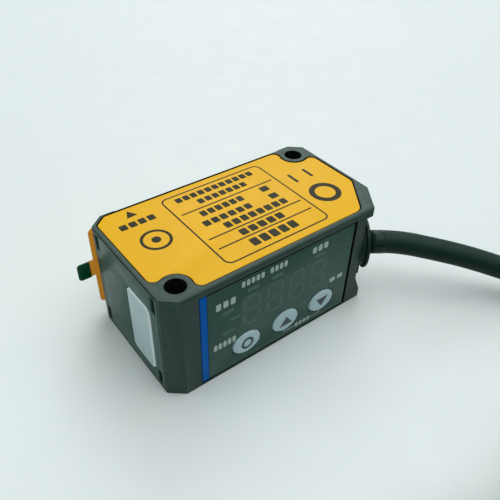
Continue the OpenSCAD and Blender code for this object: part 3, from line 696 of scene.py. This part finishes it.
class SENSOR_OT_cable(bpy.types.Operator):
    """Lay the cable from its gland to a tied hank with bare leads"""

    bl_idname = "sensor.cable"
    bl_label = "Cable"

    def execute(self, context):
        diameter = sizes().cable_diameter
        end_low, end_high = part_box("cable_end")
        route = [gland_point(out) for out in STRAIGHT] + [Vector(point) * MM for point in ROUTE]
        turns = Hank(*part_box("cable_hank"), diameter).wind((end_low.z + end_high.z) / 2)
        tail_y = (end_low.y + end_high.y) / 2
        tail = [(end_high.x + (end_low.x - end_high.x) * k / 4, tail_y, turns[-1][2]) for k in range(1, 5)]
        points = route + turns + tail
        line = bpy.data.curves.new("cable_line", "CURVE")
        line.dimensions = "3D"
        line.bevel_depth = diameter / 2
        line.bevel_resolution = 6
        line.resolution_u = 5
        line.use_fill_caps = True
        spline = line.splines.new("BEZIER")
        spline.bezier_points.add(len(points) - 1)
        for knot, point in zip(spline.bezier_points, points):
            knot.co = point
            knot.handle_left_type = "AUTO"
            knot.handle_right_type = "AUTO"
        line.materials.append(finish("cable_jacket"))
        cable = bpy.data.objects.new("cable_line", line)
        context.scene.collection.objects.link(cable)
        seated(cable, "cable_jacket", "cable", "cable_hank", "cable_end")
        ties = dressed("hank_straps", "hank_ties", "black_plastic", sizes().fine_edge * 2, "tie_plastic")
        leads = self.leads(Vector(tail[-1]))
        return {"FINISHED"}

    def leads(self, start):
        """Leads that fan out of the jacket, each with a bare copper end."""
        thick = sizes().lead_diameter / 2
        low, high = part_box("lead_wires")
        reach = high.x - low.x
        ring = sizes().cable_diameter / 2 - thick
        steps = 16
        shape = bmesh.new()
        for k in range(len(LEAD_COLOURS)):
            a = 2 * math.pi * k / len(LEAD_COLOURS)
            path = []
            for u in [step / steps for step in range(steps + 1)]:
                fan = ring * (1 + 0.5 * eased(u, 0.1, 1))
                path.append(start + Vector((-reach * u, fan * math.cos(a), fan * math.sin(a))))
            self.wire(shape, path, thick, 1 - sizes().bare / reach, k)
        made = linked("lead_ends", outward(shape), *LEAD_COLOURS, "copper")
        return seated(made, "lead_plastic", "lead_wires")

    def wire(self, shape, path, thick, bare_from, jacket):
        """A round wire along a path, whose last part is thin and bare."""
        angles = [math.radians(30 * k) for k in range(12)]
        core = 0.55 * thick
        copper = len(LEAD_COLOURS)
        last = len(path) - 1
        rings = []
        for j, spot in enumerate(path):
            ahead = path[min(j + 1, last)] - path[max(j - 1, 0)]
            across = ahead.cross(Vector((0, 0, 1))).normalized()
            above = across.cross(ahead).normalized()
            widths = [thick] if j / last < bare_from else [core]
            if j / last < bare_from <= (j + 1) / last:
                widths.append(core)
            for width in widths:
                ring = [spot + width * (math.cos(a) * across + math.sin(a) * above) for a in angles]
                rings.append(([shape.verts.new(point) for point in ring], width))
        shape.faces.new(rings[0][0][::-1]).material_index = jacket
        for (one, width), (two, _) in zip(rings, rings[1:]):
            for skin in bridged(shape, [one, two]):
                skin.smooth = True
                skin.material_index = jacket if width == thick else copper
        shape.faces.new(rings[-1][0]).material_index = copper


# Housing and its ends

# Parts of a plain outer edge's round that the base, the plain end and the recesses have
BASE_SHARE, END_SHARE, RECESS_SHARE = 0.25, 0.6, 0.35
# Part of a dark seam's width at the sides that hardly show; the seam's darkness is partly painted shade
FAINT_SEAM = 0.2
# Depths down to which an edge is rounded and a face is outer, and the room round a piece and a hole
ROUNDED_DEPTH, OUTER_DEPTH = 0.6 * MM, 0.05 * MM
PIECE_ROOM, BORE_ROOM = 0.5 * MM, 0.1 * MM


class SENSOR_OT_housing(bpy.types.Operator):
    """Round the housing's edges, give it its coat and paint shade into its recesses and mounting holes"""

    bl_idname = "sensor.housing"
    bl_label = "Housing"

    def execute(self, context):
        shape = merged("housing")
        self.planes = self.outer_planes(shape)
        shape.free()
        finishes = ("housing_coat", "seam_coat")
        edge = sizes().brow_edge
        shell = dressed("housing_shell", "housing", "coated_metal", edge, *finishes, share=self.edge_share)
        seated_nodes = ("label_plate", "end_cover", "display_panel", "accent_strip")
        self.recesses = [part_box(node) for node in seated_nodes]
        self.bores = [mount for mount in frame["record"]["mounts"] if mount["kind"] == "bore"]
        # Faces in the recesses and on the mounting holes' walls get the dark seam coat: painted shade
        for face in shell.data.polygons:
            if self.in_recess(face):
                face.material_index = 1
        return {"FINISHED"}

    def edge_share(self, edge):
        """An edge's part of the brow's round, which only the edge above the display face has in full."""
        plain = sizes().outer_edge / sizes().brow_edge
        ends = [vertex.co for vertex in edge.verts]
        on = [n for n, d in self.planes if all(abs(n.dot(end) - d) < NEAR for end in ends)]
        if self.depth((ends[0] + ends[1]) / 2) > ROUNDED_DEPTH:
            return 0.0
        if len(on) < 2:
            return RECESS_SHARE * plain
        if any(n.z > 0.99 for n in on) and any(n.y < -0.99 for n in on):
            return 1.0
        if any(n.z < -0.5 for n in on):
            return BASE_SHARE * plain
        return END_SHARE * plain if any(n.x < -0.99 for n in on) else plain

    def depth(self, spot):
        """How far a place lies below the nearest of the outer planes."""
        return min(d - n.dot(spot) for n, d in self.planes)

    def outer_planes(self, shape):
        """The outermost faces of the housing, as a direction and a distance."""
        smallest = 3 * MM * MM
        found = {}
        for face in shape.faces:
            if face.calc_area() < smallest:
                continue
            key = tuple(round(c, 3) for c in face.normal)
            reach = max(face.normal.dot(vertex.co) for vertex in face.verts)
            found[key] = max(found.get(key, -1.0), reach)
        full = {key: max(Vector(key).dot(vertex.co) for vertex in shape.verts) for key in found}
        return [(Vector(key).normalized(), full[key]) for key in found if abs(full[key] - found[key]) < NEAR]

    def in_recess(self, face):
        """Whether a face lies in the recess of a label, cover or panel, or is a wall of a mounting hole,
        where painted shade goes.
        """
        spot = face.center
        if self.depth(spot) < OUTER_DEPTH:
            return False
        for low, high in self.recesses:
            if all(low[k] - PIECE_ROOM < spot[k] < high[k] + PIECE_ROOM for k in range(3)):
                return True
        for bore in self.bores:
            away = Vector((spot.x, spot.y)) - Vector(bore["pos_m"][:2])
            if abs(face.normal.z) < 0.1 and away.length < bore["dims"]["r_mm"] * MM + BORE_ROOM:
                return True
        return False


class SENSOR_OT_end_cover(bpy.types.Operator):
    """Make the end cover and its pale pane"""

    bl_idname = "sensor.end_cover"
    bl_label = "End cover"

    def execute(self, context):
        self.low, self.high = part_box("end_cover")
        self.pane_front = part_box("end_pane")[0].x
        # The cover's seam edges get the dark seam coat, partly painted shade in the gap
        rim = {"share": self.cover_share, "edge_slot": 1}
        # The cover's coat is a lighter copy of the housing's colour: painted light
        dressed("end_plate", "end_cover", "coated_metal", sizes().seam, "cover_coat", "seam_coat", **rim)
        # The pane's round outer edges get a lighter copy of its colour: a painted highlight
        rim["share"] = self.pane_share
        edge = sizes().pane_edge
        dressed("end_diffuser", "end_pane", "pane_plastic", edge, "pane_plastic", "pane_rim", **rim)
        return {"FINISHED"}

    def cover_share(self, edge):
        """The dark seam, partly painted shade in the gap, shows at the cover's upper side, and faintly at the
        others.
        """
        if not lies_at(edge, "x", self.low.x):
            return 0.0
        return 1.0 if lies_at(edge, "z", self.high.z) else FAINT_SEAM

    def pane_share(self, edge):
        """Only the pane's outer edges are round, and they carry the painted highlight."""
        return 1.0 if lies_at(edge, "x", self.pane_front) else 0.0


# Print on the label, in millimetres: rows of words as their two ends, their middle and their height
LABEL_ROWS = (
    (-7.6, 8.4, 8.45, 1.3), (-4.6, 5.5, 6.3, 1.3), (-6.2, 2.5, 3.1, 1.4), (6.0, 8.1, 3.1, 1.4),
    (-7.3, 2.4, 0.6, 1.4), (6.0, 8.1, 0.6, 1.4), (-4.8, 8.1, -1.6, 1.45), (-3.9, 5.1, -4.45, 1.5),
    (-4.0, 5.4, -7.4, 1.8), (-18.5, -12.0, 7.0, 1.35),
)
# A block of a row: its width against the pitch, and the pitch and the corner against its height
BLOCK_WIDTH, BLOCK_PITCH, BLOCK_CORNER = 0.76, 1.1, 0.12
# The frame's sides and corner, the rules in it and their two ends
LABEL_FRAME = (-9.85, -9.55, 10.5, 10.12)
LABEL_CORNER = 1.25
LABEL_RULES = (4.62, -3.07, -5.77)
RULE_ENDS = (-8.72, 9.52)
# The arrow to the beam face, rings as their middle, radius and width, a dot, and two strokes
BEAM_ARROW = ((-16.25, 8.85), (-14.4, 8.95), (-15.45, 10.65))
LABEL_RINGS = ((-15.2, 1.6, 2.5, 0.5), (14.75, -3.65, 2.8, 1.0))
LABEL_DOT = (-15.2, 1.6, 0.75)
STROKES = (((13.0, 1.6), (13.0, 3.9)), ((16.4, 1.6), (16.4, 3.9)))
STROKE_WIDTH = 0.55


class SENSOR_OT_label(bpy.types.Operator):
    """Make the label and its plain print"""

    bl_idname = "sensor.label"
    bl_label = "Label"

    def execute(self, context):
        dressed("label_sheet", "label_plate", "label_film", sizes().fine_edge / 2, "label_film")
        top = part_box("label_plate")[1].z / MM
        self.heights = (top, top + sizes().ink / MM)
        meshes = [self.rings(), self.marks()] + [self.words(*words) for words in LABEL_ROWS]
        seated(gathered("label_print", meshes, "label_ink"), "label_film")
        return {"FINISHED"}

    def words(self, x0, x1, y, tall):
        """A row of plain blocks where the label has a line of print."""
        count = max(1, round((x1 - x0) / (BLOCK_PITCH * tall)))
        pitch = (x1 - x0) / count
        outline = rounded(x0, y - tall / 2, x0 + BLOCK_WIDTH * pitch, y + tall / 2, BLOCK_CORNER * tall, 3)
        return row(plates([outline], *self.heights, on_top), count, pitch, "label_ink")

    def rings(self):
        """The frame and the plain round marks."""
        wide = sizes().line / MM
        x0, y0, x1, y1 = LABEL_FRAME
        inner = rounded(x0 + wide, y0 + wide, x1 - wide, y1 - wide, LABEL_CORNER - wide)
        pairs = [(rounded(*LABEL_FRAME, LABEL_CORNER), inner)]
        pairs += [(disc(x, y, radius), disc(x, y, radius - width)) for x, y, radius, width in LABEL_RINGS]
        return meshed("label_rings", loops(pairs, *self.heights, on_top))

    def marks(self):
        """Rules, strokes, the arrow and the dot."""
        left, right = RULE_ENDS
        outlines = [bar((left, y), (right, y), sizes().line / MM) for y in LABEL_RULES]
        outlines += [bar(*ends, STROKE_WIDTH) for ends in STROKES]
        outlines += [BEAM_ARROW, disc(*LABEL_DOT, 32)]
        return meshed("label_marks", plates(outlines, *self.heights, on_top))


# Display face, in millimetres: words as their two ends, their middle, their height and their count of strokes
PANEL_WORDS = (
    (-13.7, -10.2, 15.2, 1.35, 3), (-9.1, -4.9, 17.35, 1.15, 5), (-3.75, -0.45, 17.35, 1.15, 4),
    (4.8, 8.1, 17.05, 1.25, 3), (9.8, 12.8, 8.1, 0.9, 2), (-14.2, -10.1, 6.75, 1.35, 5),
    (2.6, 5.9, 1.6, 0.8, 4),
)
# A stroke of a word: its width against the pitch, and its corner against its height
WORD_STROKE = (0.7, 0.2)
# Lines from two keys to the word between them: where each ends, and their upper and lower height
BRACKETS = {"up_key": 2.3, "down_key": 6.25}
BRACKET_HEIGHTS = (2.1, 1.55)
# Window over the digits and its corner
ZONE = (-9.2, 8.1, 8.8, 14.7)
ZONE_CORNER = 0.3
# The first digit's left, low end, width and height, the count and pitch, and the width and end gap of a bar
DIGIT = (-8.4, 8.6, 2.75, 5.6)
DIGIT_COUNT, DIGIT_PITCH = 4, 4.55
SEGMENT_WIDTH, SEGMENT_GAP = 0.62, 0.22
# The minus sign and the five indicator bars, as their two ends, their middle and their height
INDICATORS = (
    (-11.15, -9.3, 11.35, 0.65), (-12.6, -10.5, 13.3, 0.75), (-12.6, -10.4, 9.0, 0.75),
    (-8.0, -5.8, 15.6, 0.75), (-3.4, -1.2, 15.6, 0.75), (5.5, 7.7, 15.45, 0.75),
)
INDICATOR_CORNER = 0.15
# How far the window and the digits stand out of the panel
ZONE_OUT, DIGITS_OUT = 0.005, 0.01


class SENSOR_OT_display(bpy.types.Operator):
    """Make the smoked panel, its strip, its print and the unlit digits"""

    bl_idname = "sensor.display"
    bl_label = "Display face"

    def execute(self, context):
        self.low, self.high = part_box("display_panel")
        # The panel's seam edges get the dark seam coat, partly painted shade in the gap
        rim = {"share": self.panel_share, "edge_slot": 1}
        dressed("panel_sheet", "display_panel", "panel_film", sizes().seam, "panel_film", "seam_coat", **rim)
        dressed("panel_strip", "accent_strip", "strip_film", sizes().fine_edge, "strip_film")
        meshes = [self.brackets()] + [self.words(*word) for word in PANEL_WORDS]
        seated(gathered("panel_print", meshes, "panel_ink"), "panel_film")
        zone = self.printed([rounded(*ZONE, ZONE_CORNER)], ZONE_OUT)
        seated(linked("panel_zone", zone, "panel_zone"), "panel_film")
        digits = gathered("panel_digits", [self.digits(), self.indicators()], "panel_digits")
        seated(digits, "panel_film")
        return {"FINISHED"}

    def panel_share(self, edge):
        """The dark seam, partly painted shade in the gap, shows at the panel's upper side and its cable end,
        and faintly at the others.
        """
        if not lies_at(edge, "y", self.low.y):
            return 0.0
        return 1.0 if lies_at(edge, "z", self.high.z) or lies_at(edge, "x", self.high.x) else FAINT_SEAM

    def printed(self, outlines, out):
        """A shape of flat marks that stand so far out of the panel."""
        front = -self.low.y / MM
        return plates(outlines, front, front + out, on_front)

    def words(self, x0, x1, z, tall, count):
        """A row of plain strokes where the panel has a word."""
        share, corner = WORD_STROKE
        pitch = (x1 - x0) / (count - 1 + share)
        outline = rounded(x0, z - tall / 2, x0 + share * pitch, z + tall / 2, corner * tall, 3)
        return row(self.printed([outline], sizes().ink / MM), count, pitch, "panel_ink")

    def brackets(self):
        """Thin lines from below the up and down keys to the word between them."""
        half = sizes().panel_line / MM / 2
        top, low = BRACKET_HEIGHTS
        outlines = []
        for node, word_x in BRACKETS.items():
            key_x = face_middle(node)[0]
            aside = math.copysign(half, word_x - key_x)
            upright = [(key_x + aside, top), (key_x - aside, top), (key_x - aside, low - half)]
            level = [(word_x, low - half), (word_x, low + half), (key_x + aside, low + half)]
            outlines.append(upright + level)
        return meshed("panel_lines", self.printed(outlines, sizes().ink / MM))

    def digits(self):
        """Digits of seven bars each."""
        left, low, wide, tall = DIGIT
        ends = [Vector((left + u * wide, low + v * tall)) for v in (0, 0.5, 1) for u in (0, 1)]
        bars = ((0, 1), (2, 3), (4, 5), (0, 2), (1, 3), (2, 4), (3, 5))
        outlines = [self.segment(ends[start], ends[stop]) for start, stop in bars]
        return row(self.printed(outlines, DIGITS_OUT), DIGIT_COUNT, DIGIT_PITCH, "panel_digits")

    def segment(self, start, stop):
        """Outline of a bar with pointed ends, as in a digit of seven bars."""
        along = (stop - start).normalized()
        aside = Vector((-along.y, along.x)) * SEGMENT_WIDTH / 2
        start = start + along * SEGMENT_GAP
        stop = stop - along * SEGMENT_GAP
        shoulder = along * SEGMENT_WIDTH / 2
        points = [start, start + shoulder - aside, stop - shoulder - aside]
        points += [stop, stop - shoulder + aside, start + shoulder + aside]
        return [tuple(point) for point in points]

    def indicators(self):
        """The minus sign beside the digits and a bar for each of the indicator lamps."""
        outlines = []
        for x0, x1, z, tall in INDICATORS:
            outlines.append(rounded(x0, z - tall / 2, x1, z + tall / 2, INDICATOR_CORNER, 3))
        return meshed("panel_bars", self.printed(outlines, DIGITS_OUT))


# Keys, in millimetres: the lip round a cap, its thickness and the gap to the panel
KEY_LIP, LIP_THICKNESS, LIP_GAP = 0.4, 0.4, 0.05
# Sizes against the cap's outline: the lip's, the stem's and that of the crown's rim
LIP_SCALE, STEM_SCALE, CROWN_SCALE = 1.17, 0.5, 0.97
# Steps of the crown and of the round edge
KEY_STEPS = 6
# Radius of a cap's round ends, as a share of its height
KEY_END = 0.42
# Radii of the ring, and half the width, the foot and the tip of the arrowhead
SIGN_RING = (1.2, 0.75)
SIGN_ARROW = (1.35, 0.85, 1.05)


class SENSOR_OT_keys(bpy.types.Operator):
    """Make the three oval keys and their signs"""

    bl_idname = "sensor.keys"
    bl_label = "Keys"

    def execute(self, context):
        for name in ("set", "up", "down"):
            self.cap(name)
            self.sign(name)
        return {"FINISHED"}

    def oval(self, wide, tall, steps=72):
        """Points of an oval with two round ends and two flatter sides."""
        end_r = KEY_END * tall
        end_x = wide / 2 - end_r
        rise = tall / 2 - end_r
        side_y = (end_x * end_x - rise * rise) / (2 * rise)
        side_r = tall / 2 + side_y
        points = []
        for k in range(steps):
            a = 2 * math.pi * k / steps
            way = Vector((math.cos(a), math.sin(a)))
            spot = self.meet(way, Vector((math.copysign(end_x, way.x), 0)), end_r)
            if abs(spot.x) < end_x * side_r / (side_r - end_r):
                spot = self.meet(way, Vector((0, -math.copysign(side_y, way.y))), side_r)
            points.append((spot.x, spot.y))
        return points

    def meet(self, way, middle, radius):
        """Where a ray from the oval's middle leaves a circle."""
        along = way.dot(middle)
        return way * (along + math.sqrt(max(0.0, along * along - middle.length_squared + radius * radius)))

    def cap(self, name):
        """A cap with a round edge and a low crown, its lip and its stem."""
        low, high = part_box(name + "_key")
        x, z = face_middle(name + "_key")
        front, back = -low.y / MM, -high.y / MM
        lip_front = -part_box("display_panel")[1].y / MM - LIP_GAP
        lip_back = lip_front - LIP_THICKNESS
        wide, tall = (high.x - low.x) / MM - 2 * KEY_LIP, (high.z - low.z) / MM - 2 * KEY_LIP
        edge = sizes().key_edge / MM
        crown = sizes().key_crown / MM
        levels = []
        for k in range(1, KEY_STEPS):
            share = k / KEY_STEPS
            levels.append((share * CROWN_SCALE, front - crown * share * share))
        for k in range(KEY_STEPS + 1):
            a = math.radians(90 * k / KEY_STEPS)
            levels.append((1 - 2 * edge * (1 - math.sin(a)) / tall, front - crown - edge * (1 - math.cos(a))))
        levels += [(1.0, lip_front), (LIP_SCALE, lip_front), (LIP_SCALE, lip_back)]
        levels += [(STEM_SCALE, lip_back), (STEM_SCALE, back)]
        outline = self.oval(wide, tall)
        steps = [([(x + u * scale, z + v * scale) for u, v in outline], out) for scale, out in levels]
        shape = bmesh.new()
        rings = ringed(shape, steps, on_front)
        top = shape.verts.new(on_front(x, z, front))
        fan = [shape.faces.new((top, rings[0][k - 1], rings[0][k])) for k in range(len(outline))]
        for face in fan + bridged(shape, rings):
            face.smooth = True
        shape.faces.new(rings[-1])
        made = linked(name + "_cap", outward(shape), "key_plastic")
        seated(made, "key_plastic", name + "_key", body=name + "_button")

    def sign(self, name):
        """A ring, or an arrowhead up or down."""
        x, z = face_middle(name + "_key")
        front = -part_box(name + "_key")[0].y / MM
        heights = (front - 2 * sizes().key_crown / MM, front + sizes().ink / MM)
        if name == "set":
            outer, inner = SIGN_RING
            shape = loops([(disc(x, z, outer), disc(x, z, inner))], *heights, on_front)
        else:
            way = 1 if name == "up" else -1
            half, foot, tip = SIGN_ARROW
            outline = [(x - half, z - foot * way), (x + half, z - foot * way), (x, z + tip * way)]
            shape = plates([outline], *heights, on_front)
        made = linked(name + "_sign", shape, "key_ink")
        seated(made, "key_plastic", body=name + "_button")


class SENSOR_OT_beam_face(bpy.types.Operator):
    """Make the beam window, its protective film and the pull tab"""

    bl_idname = "sensor.beam_face"
    bl_label = "Beam face"

    def execute(self, context):
        dressed("beam_glass", "beam_window", "window_glass", sizes().fine_edge, "window_glass")
        dressed("beam_film", "protective_film", "amber_film", sizes().fine_edge / 4, "amber_film")
        self.shade()
        dressed("film_tab", "pull_tab", "tab_film", sizes().fine_edge, "tab_film")
        return {"FINISHED"}

    def shade(self):
        """The window, as it shows through the film that lies on it."""
        corner, out = 1.2, 0.005
        low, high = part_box("beam_window")
        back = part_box("protective_film")[1].y / MM
        outline = rounded(low.x / MM, low.z / MM, high.x / MM, high.z / MM, corner)
        shape = plates([outline], back, back + out, on_back)
        seated(linked("film_shade", shape, "film_shade"), "amber_film")


class SENSOR_OT_gland(bpy.types.Operator):
    """Make the gland that is moulded on the cable"""

    bl_idname = "sensor.gland"
    bl_label = "Gland"

    def execute(self, context):
        dressed("gland_boot", "cable_gland", "cable_jacket", 0, "gland_rubber", share=lambda edge: 0.0)
        radius = sizes().cable_diameter / 2
        sunk, proud = 0.1 * MM, 0.05 * MM
        inner, outer, reach = radius - sunk, radius + proud, sizes().sleeve
        profile = [(inner, 0), (outer, 0), (outer, reach - proud), (radius, reach), (inner, reach)]
        shape = turned(profile, gland_point(STRAIGHT[0]), gland_way())
        seated(linked("gland_sleeve", shape, "sleeve_plastic"), "cable_jacket")
        return {"FINISHED"}


class SENSOR_OT_inside(bpy.types.Operator):
    """Give the pieces inside the housing their finishes"""

    bl_idname = "sensor.inside"
    bl_label = "Inside"

    def execute(self, context):
        finishes = {
            "seal_rubber": "end_gasket window_gasket",
            "black_plastic": "panel_carrier key_switches controller_chip image_sensor",
            "board_laminate": "display_board main_board sensor_board",
            "digit_plastic": "digit_display",
            "pale_plastic": "indicator_leds wire_connector",
            "flex_film": "board_flex",
            "bench_metal": "optical_bench",
            "screw_steel": "bench_screws board_screws",
            "barrel_brass": "laser_barrel laser_diode",
            "lens_glass": "collimating_lens receiver_lens",
            "mirror_glass": "fold_mirror",
            "lead_black": "inner_leads",
        }
        for name, nodes in finishes.items():
            for node in nodes.split():
                mesh = frame["nodes"][node].data
                mesh.materials.clear()
                mesh.materials.append(finish(name))
        return {"FINISHED"}


class SENSOR_PT_panel(bpy.types.Panel):
    """Lists the sensor's pieces"""

    bl_idname = "SENSOR_PT_panel"
    bl_label = "Laser displacement sensor"
    bl_space_type = "VIEW_3D"
    bl_region_type = "UI"
    bl_category = "Sensor"

    def draw(self, context):
        for made in OPERATORS:
            self.layout.operator(made.bl_idname)
        for group in (context.scene.sensor_sizes, context.scene.sensor_colours):
            for name in group.__annotations__:
                self.layout.prop(group, name)


OPERATORS = (
    SENSOR_OT_stage, SENSOR_OT_cable, SENSOR_OT_housing, SENSOR_OT_end_cover, SENSOR_OT_label,
    SENSOR_OT_display, SENSOR_OT_keys, SENSOR_OT_beam_face, SENSOR_OT_gland, SENSOR_OT_inside,
)
CLASSES = (SensorColours, SensorSizes, *OPERATORS, SENSOR_PT_panel)


def register():
    for made in CLASSES:
        bpy.utils.register_class(made)
    bpy.types.Scene.sensor_colours = bpy.props.PointerProperty(type=SensorColours)
    bpy.types.Scene.sensor_sizes = bpy.props.PointerProperty(type=SensorSizes)


def unregister():
    del bpy.types.Scene.sensor_sizes
    del bpy.types.Scene.sensor_colours
    for made in reversed(CLASSES):
        bpy.utils.unregister_class(made)


def main():
    register()
    bpy.ops.sensor.stage()
    bpy.ops.sensor.cable()
    bpy.ops.sensor.housing()
    bpy.ops.sensor.end_cover()
    bpy.ops.sensor.label()
    bpy.ops.sensor.display()
    bpy.ops.sensor.keys()
    bpy.ops.sensor.beam_face()
    bpy.ops.sensor.gland()
    bpy.ops.sensor.inside()


if __name__ == "__main__":
    main()
